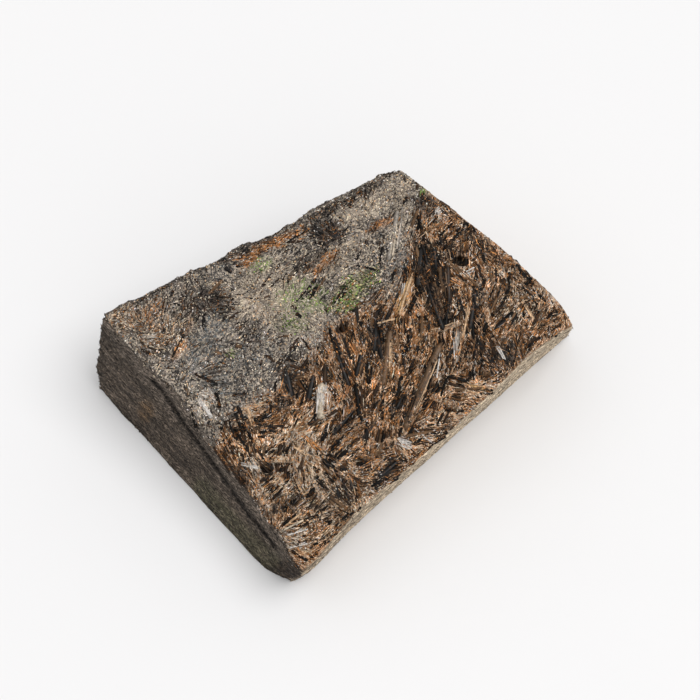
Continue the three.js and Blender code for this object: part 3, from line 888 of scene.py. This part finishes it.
def skin(bundles):
    """The slab's skin and its mesh as arrays for what lies in it."""
    places, triangles, ends = refined_slab()
    shares = side_shares(places, triangles, ends)
    base = places[:, 2] < ON_BASE
    eased = smoothed(places, ends, 2)
    eased[base] = places[base]
    eased = carved(eased, shares)
    eased[base, 2] = 0
    spots = photo_of(eased)
    bundle = bundles.at(eased[:, :2])
    body_tone, vein_tone, fine = ground_tones(spots)
    # Painted shade: the top's colours are darkened in hollows below the smoothed surface and inside the pits.
    hollow = smoothed(eased, ends, 12)[:, 2] - eased[:, 2]
    shade = 1 - np.maximum(0.75 * ease(hollow / HOLLOW_SHADE_DEPTH), 0.9 * hole_share(spots))[:, None]
    body_tone = body_tone * (bundles.shade[bundle] * blotches(eased))[:, None] * shade
    vein_tone = vein_tone * shade
    tint = sum(shares[side][:, None] * colour for side, colour in (
        ("top", body_tone), ("left", left_colour(eased, spots)),
        ("front", front_colour(eased, spots)), ("right", front_colour(eased, spots + RIGHT_SHIFT)),
        ("back", broken_colour(eased)), ("base", linear(SIDES["base"]) * np.ones((len(eased), 1))),
    ))
    layout = side_layout(eased, triangles, shares)
    body = mesh_object("slab_skin", eased, triangles, tint, layout)
    put_colour(body.data, "vein", vein_tone)
    sides = (shares["left"], shares["front"] + shares["right"], shares["top"])
    put_colour(body.data, "sides", np.stack(sides, 1))
    put_colour(body.data, "grain", bundles.grain(eased[:, :2], bundle))
    put_colour(body.data, "fine", fine[:, None] * np.ones(3))
    body.data.materials.append(skin_material())
    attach(body, "root")
    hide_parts(SLAB)
    return eased, triangles, shares, tint


# The numbers of a mix node's two inputs and of its result, for each kind of value.
MIX_SOCKETS = {"FLOAT": (2, 3, 0), "RGBA": (6, 7, 2)}


class Nodes:
    """A material's nodes, laid out by short calls."""

    def __init__(self, name):
        """A new material with the shader that Blender gives it."""
        self.material = bpy.data.materials.new(name)
        self.material.use_nodes = True
        self.tree = self.material.node_tree
        self.shader = self.tree.nodes["Principled BSDF"]

    def add(self, kind, **values):
        """A new node with these inputs and settings."""
        node = self.tree.nodes.new(kind)
        for key, value in values.items():
            if key in node.inputs:
                node.inputs[key].default_value = value
            else:
                setattr(node, key, value)
        return node

    def put(self, value, entry):
        """Links another node's result to an entry, or sets the entry's own number or colour."""
        if isinstance(value, bpy.types.NodeSocket):
            self.tree.links.new(value, entry)
        else:
            entry.default_value = value

    def stretched(self, place, scale):
        """A place stretched by a scale for each axis."""
        mapping = self.add("ShaderNodeMapping", Scale=scale)
        self.put(place, mapping.inputs["Vector"])
        return mapping.outputs["Vector"]

    def place(self, scale):
        """The place on the part in millimetres, stretched."""
        coords = self.add("ShaderNodeTexCoord")
        return self.stretched(coords.outputs["Object"], [s / MM for s in scale])

    def grained(self, scale):
        """The mesh's own grain coordinates, stretched."""
        return self.stretched(self.attribute("grain"), scale)

    def noise(self, scale, detail=3, rough=0.6):
        """Noise from 0 to 1, finer with a greater scale."""
        texture = self.add("ShaderNodeTexNoise", Scale=1.0, Detail=detail, Roughness=rough)
        self.put(self.place(scale), texture.inputs["Vector"])
        return texture.outputs["Fac"]

    def between(self, value, low, high, start=0.3, end=0.7):
        """A value of start to end as low to high."""
        bounds = {"From Min": start, "From Max": end, "To Min": low, "To Max": high}
        span = self.add("ShaderNodeMapRange", **bounds)
        self.put(value, span.inputs["Value"])
        return span.outputs["Result"]

    def blend(self, share, a, b, kind="FLOAT"):
        """a where the share is 0 and b where it is 1."""
        mix = self.add("ShaderNodeMix", data_type=kind)
        first, second, result = MIX_SOCKETS[kind]
        for value, entry in ((share, 0), (a, first), (b, second)):
            self.put(value, mix.inputs[entry])
        return mix.outputs[result]

    def math(self, operation, *values):
        """What comes of an operation on one or two values."""
        node = self.add("ShaderNodeMath", operation=operation)
        for value, entry in zip(values, node.inputs):
            self.put(value, entry)
        return node.outputs[0]

    def cells(self, place, feature="F1"):
        """Cells around scattered points: each one's own number, or how near its edge a place is."""
        texture = self.add("ShaderNodeTexVoronoi", feature=feature, Scale=1.0)
        self.put(place, texture.inputs["Vector"])
        if feature == "DISTANCE_TO_EDGE":
            return texture.outputs["Distance"]
        parts = self.add("ShaderNodeSeparateColor")
        self.put(texture.outputs["Color"], parts.inputs[0])
        return parts.outputs[0]

    def attribute(self, name):
        """What the mesh holds under a name at each vertex."""
        return self.add("ShaderNodeAttribute", attribute_name=name).outputs["Color"]

    def shaded(self, value, colour=None):
        """A colour, or the mesh's own, made darker and lighter by a value about 1."""
        scale = self.add("ShaderNodeVectorMath", operation="SCALE")
        self.put(colour or self.attribute("tint"), scale.inputs[0])
        self.put(value, scale.inputs["Scale"])
        return scale.outputs["Vector"]

    def lines(self, scale, width):
        """Thin wandering lines: 1 in their middle and 0 away from them."""
        wave = self.math("ABSOLUTE", self.math("SUBTRACT", self.noise(scale, 4, 0.55), 0.5))
        return self.between(wave, 1, 0, 0.2 * width, width)

    def finish(self, colour, rough, gloss):
        """The shader's colour, roughness and gloss."""
        self.put(colour, self.shader.inputs["Base Color"])
        self.put(rough, self.shader.inputs["Roughness"])
        self.put(gloss, self.shader.inputs["Specular IOR Level"])

    def bump(self, height, distance, strength):
        """A height that the light sees, over a distance in millimetres."""
        bump = self.add("ShaderNodeBump", Distance=distance * MM, Strength=strength)
        self.put(height, bump.inputs["Height"])
        self.put(bump.outputs["Normal"], self.shader.inputs["Normal"])


def top_light(stone, fine, fibre, speck, grain):
    """Where the top shows its light minerals: a net between blades, or specks where it is fine."""
    net = stone.between(stone.cells(stone.grained((0.6, 1.25, 1)), "DISTANCE_TO_EDGE"), 1, 0, 0.03, 0.13)
    net = stone.math("MULTIPLY", net, stone.between(grain, 0.1, 1, 0.4, 0.6))
    bladed = stone.math("MAXIMUM", net, stone.between(fibre, 0, 0.8, 0.62, 0.95))
    return stone.blend(fine, bladed, stone.between(speck, 0, 1, 0.25, 0.95))


def sawn_shade(stone, sawn, speck):
    """The sawn sides' streaks, thin dark cracks and dark specks."""
    cracks = stone.between(stone.math("ABSOLUTE", stone.math("SUBTRACT", sawn, 0.5)), 0.35, 1, 0, 0.03)
    shade = stone.math("MULTIPLY", stone.between(sawn, 0.35, 1.75, 0.37, 0.63), cracks)
    return stone.math("MULTIPLY", shade, stone.between(speck, 0.35, 1.12, 0.12, 0.35))


def skin_material():
    """The stone between the crystals and on the sawn sides."""
    stone = Nodes("slab_stone")
    parts = stone.add("ShaderNodeSeparateColor")
    stone.put(stone.attribute("sides"), parts.inputs[0])
    left, front, top = parts.outputs
    fine = stone.attribute("fine")
    cloud = stone.noise((0.7, 0.7, 0.7), 4, 0.7)
    grain = stone.noise((3, 3, 3), 4, 0.7)
    fibre = stone.cells(stone.grained((0.4, 3.6, 1)))
    speck = stone.cells(stone.place((2.9, 2.9, 2.9)))
    light = stone.math("MULTIPLY", top_light(stone, fine, fibre, speck, grain), top)
    colour = stone.blend(light, stone.attribute("tint"), stone.attribute("vein"), "RGBA")
    streak_left = stone.noise((1.1, 0.22, 1.1), 6, 0.8)
    streak_front = stone.noise((0.2, 1.1, 1.5), 6, 0.8)
    sawn = stone.blend(front, stone.blend(left, grain, streak_left), streak_front)
    shade = stone.blend(top, sawn_shade(stone, sawn, speck), stone.between(cloud, 0.45, 1.6))
    blade_rough, fine_rough = stone.between(fibre, 0.3, 0.65, 0, 1), stone.between(speck, 0.55, 0.85, 0, 1)
    rough = stone.blend(top, stone.between(grain, 0.68, 0.92), stone.blend(fine, blade_rough, fine_rough))
    stone.finish(stone.shaded(shade, colour), rough, 0.2)
    relief = stone.blend(top, sawn, stone.blend(fine, fibre, speck))
    stone.bump(stone.math("ADD", relief, stone.math("MULTIPLY", grain, 0.6)), 0.1, 0.9)
    return stone.material


def crystal_material(name, rough, gloss, shade, net, scale):
    """A mineral with each crystal's own colour, clouded by noise and crossed by a net of thin lines.

    Rough and shade are the least and greatest roughness and brightness, and scale is that of the clouds.
    """
    mineral = Nodes(name)
    colour = mineral.shaded(mineral.between(mineral.noise([scale] * 3, 4, 0.65), *shade))
    for stain, strength, width, spread in net:
        patchy = mineral.between(mineral.noise((0.35, 0.35, 0.35), 2), 0, strength, 0.42, 0.6)
        share = mineral.math("MULTIPLY", mineral.lines(spread, width), patchy)
        colour = mineral.blend(share, colour, (*linear(stain), 1), "RGBA")
    mineral.finish(colour, mineral.between(mineral.noise((0.9, 0.9, 0.9), 3), *rough), gloss)
    mineral.bump(mineral.noise((4, 4, 4), 3, 0.6), 0.05, 0.6)
    return mineral.material


# The nets of thin lines over the minerals: their colour, strength, width and scale in each direction.
RUST_NET = [((196, 130, 68), 0.8, 0.013, (0.55, 0.55, 0.55)), ((206, 178, 144), 0.6, 0.01, (1.1, 1.1, 1.1))]
FLECK_NET = [((60, 44, 32), 0.6, 0.02, (1.3, 1.3, 1.3))]
DARK_NET = [((186, 122, 64), 0.6, 0.01, (0.5, 0.5, 0.5))]
FELT_NET = [((30, 27, 25), 0.8, 0.022, (0.9, 0.9, 0.9)), ((186, 130, 76), 0.5, 0.008, (0.35, 0.35, 0.35))]
SAWN_NET = [((18, 15, 13), 0.95, 0.045, (0.45, 0.11, 0.5)), ((138, 124, 110), 0.6, 0.02, (0.4, 0.25, 0.8))]

# The minerals of the flecks, drawn evenly, and those of the dark blades with their shares.
FLECK_COLOURS = ("orange", "rust", "tan", "tan", "beige", "silver and glint")
BLADE_COLOURS = {"black": 0.5, "ink": 0.15, "dark brown": 0.27, "brown": 0.08}

# A crystal's corners as shares of its half axes, and its faces: a bar with blunt points, and a short grain.
BAR_END = 0.86
RING = [(-1, 0), (0, 1), (1, 0), (0, -1)]
QUARTERS = [(k, (k + 1) % 4) for k in range(4)]
BAR = (
    np.array([(-1, 0, 0), *((x, *corner) for x in (-BAR_END, BAR_END) for corner in RING), (1, 0, 0)]),
    np.array(
        [(0, 1 + a, 1 + b) for a, b in QUARTERS] + [(1 + a, 5 + a, 5 + b) for a, b in QUARTERS]
        + [(1 + a, 5 + b, 1 + b) for a, b in QUARTERS] + [(5 + a, 9, 5 + b) for a, b in QUARTERS]
    ),
)
GRAIN = (
    np.array([(-1, 0, 0), *((0, *corner) for corner in RING), (1, 0, 0)]),
    np.array([(0, 1 + a, 1 + b) for a, b in QUARTERS] + [(5, 1 + b, 1 + a) for a, b in QUARTERS]),
)


class Ground:
    """The top of the skin, asked for its height at places in plan."""

    def __init__(self, places, triangles):
        """The skin as a tree that rays can be cast on."""
        self.tree = BVHTree.FromPolygons(places.tolist(), triangles.tolist())

    def heights(self, plan):
        """The height of the top under each place in plan, and nan where there is none."""
        sky = HIGH[2] + 10
        down = Vector((0, 0, -1))
        out = np.full(len(plan), np.nan)
        for k, (x, y) in enumerate(plan.tolist()):
            spot = self.tree.ray_cast(Vector((x, y, sky)), down)[0]
            if spot is not None:
                out[k] = spot.z
        off_top = ~(over_top(np.column_stack([plan, out])) > -TOP_DEPTH)
        out[off_top | (hole_share(photo_of(on_top(plan))) > 0.5)] = np.nan
        return out


def laid(ground, middles, heading, sizes, lift, roll):
    """Where crystals lie: each one's middle, its three half axes along the ground, and whether it is kept.

    The sizes are lengths, widths and half heights, and the lift is how far the middles are over the ground.
    """
    length, width, height = sizes
    half = length[:, None] / 2
    heights = [ground.heights(middles + step * half * heading) for step in (-PROBE, 0, PROBE)]
    rest = sum(heights) / 3
    rise = (heights[2] - heights[0]) / (2 * PROBE * half[:, 0])
    kept = np.isfinite(rest) & (abs(rise) < STEEPEST)
    along = unit(np.column_stack([heading, rise]))
    side = unit(np.cross([-TOP_SLOPE[0], -TOP_SLOPE[1], 1], along))
    over = np.cross(along, side)
    c, s = np.cos(roll)[:, None], np.sin(roll)[:, None]
    side, over = side * c + over * s, over * c - side * s
    middle = np.column_stack([middles, rest + lift])
    axes = np.stack([along * half, side * width[:, None] / 2, over * height[:, None]], 1)
    return middle[kept], axes[kept], kept


def crystals(name, shape, middles, axes, tints, material):
    """One joined mesh of small closed crystals, each with a colour of its own."""
    corners, faces = shape
    # In the order of their colours, so that neighbours in the flat layout are alike.
    order = np.lexsort((tints[:, 0] - tints[:, 2], np.round(np.sqrt(tints.sum(1)), 1)))
    middles, axes, tints = middles[order], axes[order], tints[order]
    places = middles[:, None] + np.einsum("vk,nkd->nvd", corners, axes)
    places = np.clip(places, LOW + CRYSTAL_INSET, HIGH - CRYSTAL_INSET).reshape(-1, 3)
    count = len(middles)
    joined = (faces[None] + len(corners) * np.arange(count)[:, None, None]).reshape(-1, 3)
    layout = colour_cells(count, len(faces))
    body = mesh_object(name, places, joined, np.repeat(tints, len(corners), 0), layout)
    body.data.materials.append(material)
    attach(body, "root")


def bedded(name, shape, ground, plan, heading, sizes, lift, roll, tints, material, cloudy=True):
    """Crystals laid in the top as one joined mesh, with the top's dark and light clouds in their colours."""
    middle, axes, kept = laid(ground, plan, heading, sizes, lift, roll)
    clouds = blotches(middle)[:, None] if cloudy else 1
    crystals(name, shape, middle, axes, tints[kept] * clouds, material)


def scattered(count):
    """Places drawn evenly in plan over the slab."""
    return LOW[:2] + random.random((count, 2)) * (HIGH - LOW)[:2]


def drawn(bounds, count):
    """Numbers drawn evenly between two bounds."""
    return random.uniform(*bounds, count)


def lifted(tints, least, more):
    """How far crystals stand over the ground: the light ones higher, with some give."""
    return least + more * np.minimum(tints.sum(1), 1) + random.normal(0, LIFT_GIVE, len(tints))


def on_top(plan):
    """Places in plan as places on the top's plane."""
    return np.column_stack([plan, plan @ TOP_SLOPE + TOP_MIDDLE])


def names_of(kinds, *wanted):
    """Which of the drawn kinds are among those wanted."""
    names = list(KINDS)
    return np.isin(kinds, [names.index(kind) for kind in wanted])


def dark_blades(ground, bundles):
    """The broad black and brown blades that the fibres lie between."""
    plan = scattered(DARK_BLADES)
    chosen = random.random(len(plan)) > 0.92 * felt_share(photo_of(on_top(plan)))
    plan = plan[chosen]
    count = len(plan)
    length, width = (drawn(bounds, count) for bounds in BLADE_SIZES)
    tones = np.array([linear(COLOURS[name]) for name in BLADE_COLOURS])
    tints = tones[random.choice(len(tones), count, p=list(BLADE_COLOURS.values()))] * varied(0.25, count)
    lift = random.normal(-0.03, 0.05, count)
    roll = random.normal(0, 0.25, count)
    sizes = (length, width, 0.2 * width)
    material = crystal_material("dark_minerals", (0.35, 0.7), 0.12, (0.5, 1.5), DARK_NET, 0.9)
    heading = bundles.heading(plan)
    bedded("dark_blades", BAR, ground, plan, heading, sizes, lift, roll, tints, material, False)


def netted(plan, kinds, bundles):
    """Colours drawn so that dark blades lie in a net of light fibres, and which fibres are in that net."""
    edge, number = bundles.cells(plan, bundles.at(plan))
    net = ease((NET_WIDTH - edge) / NET_WIDTH) > random.random(len(plan))
    tints = np.zeros((len(kinds), 3))
    for index, kind in enumerate(KINDS):
        body, vein = body_and_vein(kind)
        mine = kinds == index
        blade = 0.9 * body * np.exp(2.6 * (number[mine, None] - 0.5))
        tints[mine] = np.where(net[mine, None], 1.3 * vein, blade)
    own = tints_of(kinds)
    mixed = random.random(len(plan)) < np.where(net, 0.5, 0.3)
    tints[mixed] = own[mixed]
    return held(tints * varied(0.36, len(plan), 0.21)), net


def fibres(ground, bundles):
    """The thin rust, tan and brown fibres and the dark ones between them."""
    plan = scattered(FIBRES)
    kinds = kinds_at(on_top(plan))
    chosen = ~names_of(kinds, *FINE_KINDS) | (random.random(len(plan)) < 0.1)
    plan, kinds = plan[chosen], kinds[chosen]
    count = len(plan)
    tints, net = netted(plan, kinds, bundles)
    stray = random.normal(0, 1, (count, 2)) * np.where(net, 0.45, 0.12)[:, None]
    heading = unit(bundles.heading(plan) + stray)
    light = tints.sum(1) > LIGHT
    length = np.clip(random.lognormal(*FIBRE_LENGTH, count), *FIBRE_BOUNDS)
    length = length * np.where(light, LIGHT_SHORTER, 1)
    width = np.where(light, drawn(LIGHT_WIDTH, count), drawn(DARK_WIDTH, count))
    lift = lifted(tints, 0.01, 0.07)
    roll = random.normal(0, 0.3, count)
    sizes = (length, width, 0.5 * width)
    material = crystal_material("fibre_minerals", (0.4, 0.75), 0.14, (0.6, 1.55), RUST_NET, 1.1)
    bedded("rust_fibres", GRAIN, ground, plan, heading, sizes, lift, roll, tints, material)


def flecks(ground, bundles):
    """The short bright flecks among the fibres."""
    plan = scattered(FLECKS)
    kinds = kinds_at(on_top(plan))
    plan = plan[~names_of(kinds, *FINE_KINDS, "black", "dark")]
    count = len(plan)
    heading = unit(bundles.heading(plan) + random.normal(0, 0.6, (count, 2)))
    length, width = (drawn(bounds, count) for bounds in FLECK_SIZES)
    tones = np.array([linear(COLOURS[name]) for name in FLECK_COLOURS])
    tints = held(tones[random.integers(0, len(tones), count)] * varied(0.35, count))
    lift = lifted(tints, 0.06, 0)
    roll = random.normal(0, 0.3, count)
    sizes = (length, width, 0.8 * width)
    material = crystal_material("fleck_minerals", (0.35, 0.7), 0.2, (0.6, 1.5), FLECK_NET, 2.2)
    bedded("bright_flecks", GRAIN, ground, plan, heading, sizes, lift, roll, tints, material)


def felt(ground, bundles):
    """The grains of the grey felt."""
    plan = scattered(FELT_GRAINS)
    kinds = kinds_at(on_top(plan))
    chosen = names_of(kinds, *FINE_KINDS, "mixed", "dark") | (random.random(len(plan)) < 0.12)
    plan, kinds = plan[chosen], kinds[chosen]
    count = len(plan)
    heading = unit(bundles.heading(plan) + random.normal(0, 0.7, (count, 2)))
    length, width = (drawn(bounds, count) for bounds in FELT_SIZES)
    tints = tints_of(kinds)
    lift = lifted(tints, 0.03, 0.05)
    roll = random.normal(0, 0.4, count)
    sizes = (length, width, 0.4 * width)
    material = crystal_material("felt_minerals", (0.5, 0.85), 0.25, (0.7, 1.35), FELT_NET, 1.6)
    bedded("grey_felt", GRAIN, ground, plan, heading, sizes, lift, roll, tints, material)


def large_blades(ground):
    """The single large blades: sheaves of narrow ones side by side, and broad plates."""
    marks = np.array([mark[:5] for mark in SHEAVES + PLATES], float)
    tones = np.array([linear(COLOURS[mark[5]]) for mark in SHEAVES + PLATES])
    plate = np.arange(len(marks)) >= len(SHEAVES)
    start, end = top_of(marks[:, :2])[:, :2], top_of(marks[:, 2:4])[:, :2]
    blades = np.where(plate, 1, np.maximum(2, np.round(2.4 * marks[:, 4] / SHEAF_GAP))).astype(int)
    which = np.repeat(np.arange(len(marks)), blades)
    loose = ~plate[which]
    count = len(which)
    heading = unit(unit(end - start)[which] + random.normal(0, 0.05, (count, 2)) * loose[:, None])
    across = np.stack([-heading[:, 1], heading[:, 0]], 1)
    long = np.linalg.norm(end - start, axis=1)[which]
    wide = marks[which, 4] * PIXEL
    length = long * np.where(loose, drawn((0.35, 1), count), 1)
    middles = (start + end)[which] / 2 + across * (wide * drawn(HALF_EACH_WAY, count) * loose)[:, None]
    middles = middles + heading * (drawn(HALF_EACH_WAY, count) * (long - length))[:, None]
    width = np.where(loose, SHEAF_GAP * PIXEL * drawn((0.5, 1.1), count), wide)
    tints = held(tones[which] * np.exp(random.normal(-0.15, 0.4, (count, 1)) * loose[:, None]), 0.55)
    lift = np.where(loose, 0.09, 0.13) + random.normal(0, 0.03, count)
    roll = random.normal(0, 0.3, count) * np.where(loose, 1, 0.3)
    sizes = (length, width, np.where(loose, 0.35, 0.16) * width)
    material = crystal_material("blade_minerals", (0.25, 0.6), 0.3, (0.35, 1.6), DARK_NET, 1.8)
    bedded("large_blades", BAR, ground, middles, heading, sizes, lift, roll, tints, material, False)


def side_grains(places, triangles, shares, tint):
    """The grains of the sawn and broken sides, each near the colour of the skin under it."""
    corners = places[triangles]
    flat = np.cross(corners[:, 1] - corners[:, 0], corners[:, 2] - corners[:, 0])
    sides = sum(density * shares[side] for side, density in SIDE_DENSITY.items())
    weight = np.linalg.norm(flat, axis=1) * sides[triangles].mean(1)
    chosen = random.choice(len(triangles), SIDE_GRAINS, p=weight / weight.sum())
    mix = random.dirichlet((1, 1, 1), SIDE_GRAINS)
    middle = (corners[chosen] * mix[:, :, None]).sum(1)
    broken = shares["back"][triangles[chosen, 0]] > 0.5
    turn = random.normal(0, 1, SIDE_GRAINS) * np.where(broken, 1.2, 0.18) + SAW_TURN
    normal = unit(flat[chosen])
    level = unit(np.cross([0, 0, 1], normal))
    along = level * np.cos(turn)[:, None] + np.cross(normal, level) * np.sin(turn)[:, None]
    length, width = (drawn(bounds, SIDE_GRAINS) for bounds in SIDE_SIZES)
    length, width = length * np.where(broken, 0.7, 1), width * np.where(broken, 1.4, 1)
    proud = 0.3 * width * np.where(broken, 1.3, 0.9)
    across = np.cross(normal, along) * width[:, None] / 2
    axes = np.stack([along * length[:, None] / 2, across, normal * proud[:, None]], 1)
    tone = held(tint[triangles[chosen, 0]] * np.clip(varied(0.75, SIDE_GRAINS), 0.12, 2.3))
    material = crystal_material("side_minerals", (0.6, 0.9), 0.2, (0.7, 1.4), SAWN_NET, 1.6)
    crystals("side_grains", GRAIN, middle, axes, tone, material)


def floor():
    """A plain pale floor."""
    bpy.ops.mesh.primitive_plane_add(size=FLOOR_SIZE, location=(0, 0, -FLOOR_GAP))
    body = bpy.context.object
    body.name = "studio_floor"
    paper = Nodes("studio_paper")
    paper.put(PAPER, paper.shader.inputs["Base Color"])
    paper.put(paper.between(paper.noise((0.05, 0.05, 0.05)), 0.55, 0.65), paper.shader.inputs["Roughness"])
    body.data.materials.append(paper.material)


def light(name, place, spread, power):
    """A distant soft light that shines from a place, spread over an angle in degrees."""
    lamp = bpy.data.lights.new(name, "SUN")
    lamp.energy = power
    lamp.angle = math.radians(spread)
    body = bpy.data.objects.new(name, lamp)
    bpy.context.collection.objects.link(body)
    body.location = Vector(place) * MM
    body.rotation_euler = Vector(place - LIT_POINT).to_track_quat("Z", "Y").to_euler()


def air():
    """An even white light from all around."""
    world = bpy.data.worlds.new("studio_air")
    bpy.context.scene.world = world
    world.use_nodes = True
    background = world.node_tree.nodes["Background"]
    background.inputs["Color"].default_value = (1, 1, 1, 1)
    background.inputs["Strength"].default_value = AIR_POWER


def camera():
    """The camera of the photograph."""
    lens = bpy.data.cameras.new("camera")
    lens.lens = LENS
    lens.sensor_width = SENSOR
    lens.clip_start = CLIP_START
    body = bpy.data.objects.new("camera", lens)
    bpy.context.collection.objects.link(body)
    body.location = Vector(EYE) * MM
    body.rotation_euler = (math.pi / 2 - ELEVATION, 0, AZIMUTH)
    bpy.context.scene.camera = body


def main():
    """The slab and its crystals, and the studio around it."""
    bundles = Bundles()
    places, triangles, shares, tint = skin(bundles)
    ground = Ground(places, triangles)
    dark_blades(ground, bundles)
    fibres(ground, bundles)
    flecks(ground, bundles)
    felt(ground, bundles)
    large_blades(ground)
    side_grains(places, triangles, shares, tint)
    floor()
    for name, (place, spread, power) in LAMPS.items():
        light(name, place, spread, power)
    air()
    camera()
    bpy.context.scene.view_settings.view_transform = "Standard"


main()
